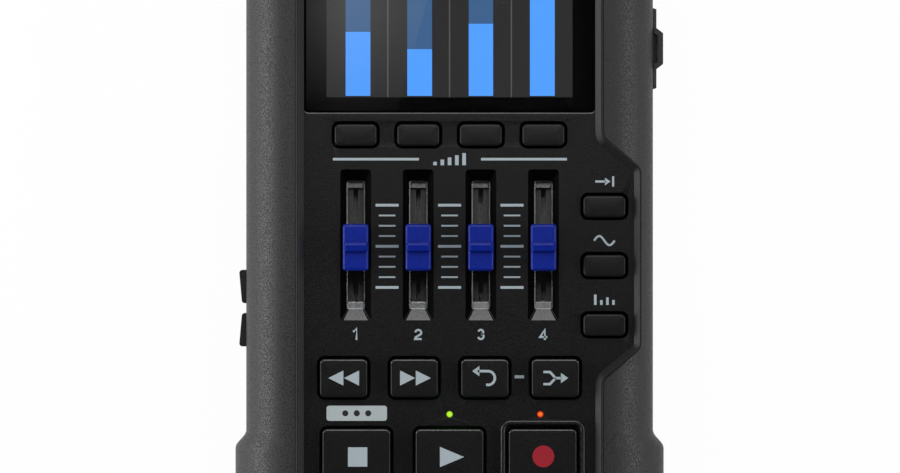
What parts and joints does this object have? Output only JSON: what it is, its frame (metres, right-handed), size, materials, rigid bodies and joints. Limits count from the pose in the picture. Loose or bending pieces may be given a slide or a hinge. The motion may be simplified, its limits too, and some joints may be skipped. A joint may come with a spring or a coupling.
{
  "type": "multitrack recorder",
  "caption": "Handheld multitrack recorder with a colour display, slide faders, transport keys, combination input jacks in its widened foot and a battery bay in its back.",
  "frame": {"origin": "on the resting surface, under the middle of the case", "axes": "+Y along the case from the jacks to the display, +Z out of the controls, +X to the right"},
  "size_m": [0.071, 0.157, 0.0356],
  "materials": {
    "grip": "fine grained matte",
    "panel": "smooth matte",
    "key": "satin",
    "cap": "satin",
    "lens": "polished",
    "lcd": "lit display",
    "metal": "plain",
    "grille": "perforated",
    "strip": "carbon film on board",
    "black_plastic": "moulded",
    "board": "coated circuit board",
    "play_light": "lit light pipe",
    "record_light": "lit light pipe",
    "cell": "plain sleeve",
    "insert": "turned",
    "foot": "matte"
  },
  "bodies": {
    "recorder": {"front_shell": "grip", "rear_shell": "grip", "control_panel": "panel", "display_lens": "lens", "lcd_module": "lcd", "fader_pot_1": "metal", "fader_pot_2": "metal", "fader_pot_3": "metal", "fader_pot_4": "metal", "slide_switch": "metal", "battery_contacts": "metal", "usb_port": "metal", "card_socket": "metal", "case_screws": "metal", "left_mic_capsule": "metal", "right_mic_capsule": "metal", "left_mic_grille": "grille", "right_mic_grille": "grille", "fader_strips": "strip", "slider_plate": "black_plastic", "key_switches": "black_plastic", "left_jack": "black_plastic", "right_jack": "black_plastic", "phones_jack": "black_plastic", "main_board": "board", "jack_board": "board", "play_led": "play_light", "record_led": "record_light", "batteries": "cell", "tripod_insert": "insert", "rubber_feet": "foot"},
    "fader_1": {"fader_lever_1": "metal", "fader_cap_1": "cap"},
    "fader_2": {"fader_lever_2": "metal", "fader_cap_2": "cap"},
    "fader_3": {"fader_lever_3": "metal", "fader_cap_3": "cap"},
    "fader_4": {"fader_lever_4": "metal", "fader_cap_4": "cap"},
    "track_key_1": {"track_key_1": "key"},
    "track_key_2": {"track_key_2": "key"},
    "track_key_3": {"track_key_3": "key"},
    "track_key_4": {"track_key_4": "key"},
    "input_key": {"input_key": "key"},
    "effect_key": {"effect_key": "key"},
    "rhythm_key": {"rhythm_key": "key"},
    "rewind_key": {"rewind_key": "key"},
    "forward_key": {"forward_key": "key"},
    "undo_key": {"undo_key": "key"},
    "bounce_key": {"bounce_key": "key"},
    "stop_key": {"stop_key": "key"},
    "play_key": {"play_key": "key"},
    "record_key": {"record_key": "key"},
    "volume_up_key": {"volume_up_key": "key"},
    "volume_down_key": {"volume_down_key": "key"},
    "power_slider": {"power_slider": "key"},
    "battery_cover": {"battery_cover": "grip"}
  },
  "joints": [
    {"name": "fader_1_slide", "type": "slide", "parent": "recorder", "child": "fader_1", "axis": [0, 1, 0], "range_m": [-0.0071, 0.0079]},
    {"name": "fader_2_slide", "type": "slide", "parent": "recorder", "child": "fader_2", "axis": [0, 1, 0], "range_m": [-0.0071, 0.0079]},
    {"name": "fader_3_slide", "type": "slide", "parent": "recorder", "child": "fader_3", "axis": [0, 1, 0], "range_m": [-0.0071, 0.0079]},
    {"name": "fader_4_slide", "type": "slide", "parent": "recorder", "child": "fader_4", "axis": [0, 1, 0], "range_m": [-0.0071, 0.0079]},
    {"name": "track_key_1_press", "type": "slide", "parent": "recorder", "child": "track_key_1", "axis": [0, 0, -1], "range_m": [0, 0.0007], "stiffness_N_per_m": 300},
    {"name": "track_key_2_press", "type": "slide", "parent": "recorder", "child": "track_key_2", "axis": [0, 0, -1], "range_m": [0, 0.0007], "stiffness_N_per_m": 300},
    {"name": "track_key_3_press", "type": "slide", "parent": "recorder", "child": "track_key_3", "axis": [0, 0, -1], "range_m": [0, 0.0007], "stiffness_N_per_m": 300},
    {"name": "track_key_4_press", "type": "slide", "parent": "recorder", "child": "track_key_4", "axis": [0, 0, -1], "range_m": [0, 0.0007], "stiffness_N_per_m": 300},
    {"name": "input_key_press", "type": "slide", "parent": "recorder", "child": "input_key", "axis": [0, 0, -1], "range_m": [0, 0.0007], "stiffness_N_per_m": 300},
    {"name": "effect_key_press", "type": "slide", "parent": "recorder", "child": "effect_key", "axis": [0, 0, -1], "range_m": [0, 0.0007], "stiffness_N_per_m": 300},
    {"name": "rhythm_key_press", "type": "slide", "parent": "recorder", "child": "rhythm_key", "axis": [0, 0, -1], "range_m": [0, 0.0007], "stiffness_N_per_m": 300},
    {"name": "rewind_key_press", "type": "slide", "parent": "recorder", "child": "rewind_key", "axis": [0, 0, -1], "range_m": [0, 0.0007], "stiffness_N_per_m": 300},
    {"name": "forward_key_press", "type": "slide", "parent": "recorder", "child": "forward_key", "axis": [0, 0, -1], "range_m": [0, 0.0007], "stiffness_N_per_m": 300},
    {"name": "undo_key_press", "type": "slide", "parent": "recorder", "child": "undo_key", "axis": [0, 0, -1], "range_m": [0, 0.0007], "stiffness_N_per_m": 300},
    {"name": "bounce_key_press", "type": "slide", "parent": "recorder", "child": "bounce_key", "axis": [0, 0, -1], "range_m": [0, 0.0007], "stiffness_N_per_m": 300},
    {"name": "stop_key_press", "type": "slide", "parent": "recorder", "child": "stop_key", "axis": [0, 0, -1], "range_m": [0, 0.0007], "stiffness_N_per_m": 300},
    {"name": "play_key_press", "type": "slide", "parent": "recorder", "child": "play_key", "axis": [0, 0, -1], "range_m": [0, 0.0007], "stiffness_N_per_m": 300},
    {"name": "record_key_press", "type": "slide", "parent": "recorder", "child": "record_key", "axis": [0, 0, -1], "range_m": [0, 0.0007], "stiffness_N_per_m": 300},
    {"name": "volume_up_key_press", "type": "slide", "parent": "recorder", "child": "volume_up_key", "axis": [1, 0, 0], "range_m": [0, 0.0004], "stiffness_N_per_m": 300},
    {"name": "volume_down_key_press", "type": "slide", "parent": "recorder", "child": "volume_down_key", "axis": [1, 0, 0], "range_m": [0, 0.0004], "stiffness_N_per_m": 300},
    {"name": "power_slider_slide", "type": "slide", "parent": "recorder", "child": "power_slider", "axis": [0, 1, 0], "range_m": [-0.002, 0.002]},
    {"name": "battery_cover_hinge", "type": "hinge", "parent": "recorder", "child": "battery_cover", "pos_m": [0, 0.03995, 0.0032], "axis": [1, 0, 0], "range_deg": [0, 85]}
  ]
}
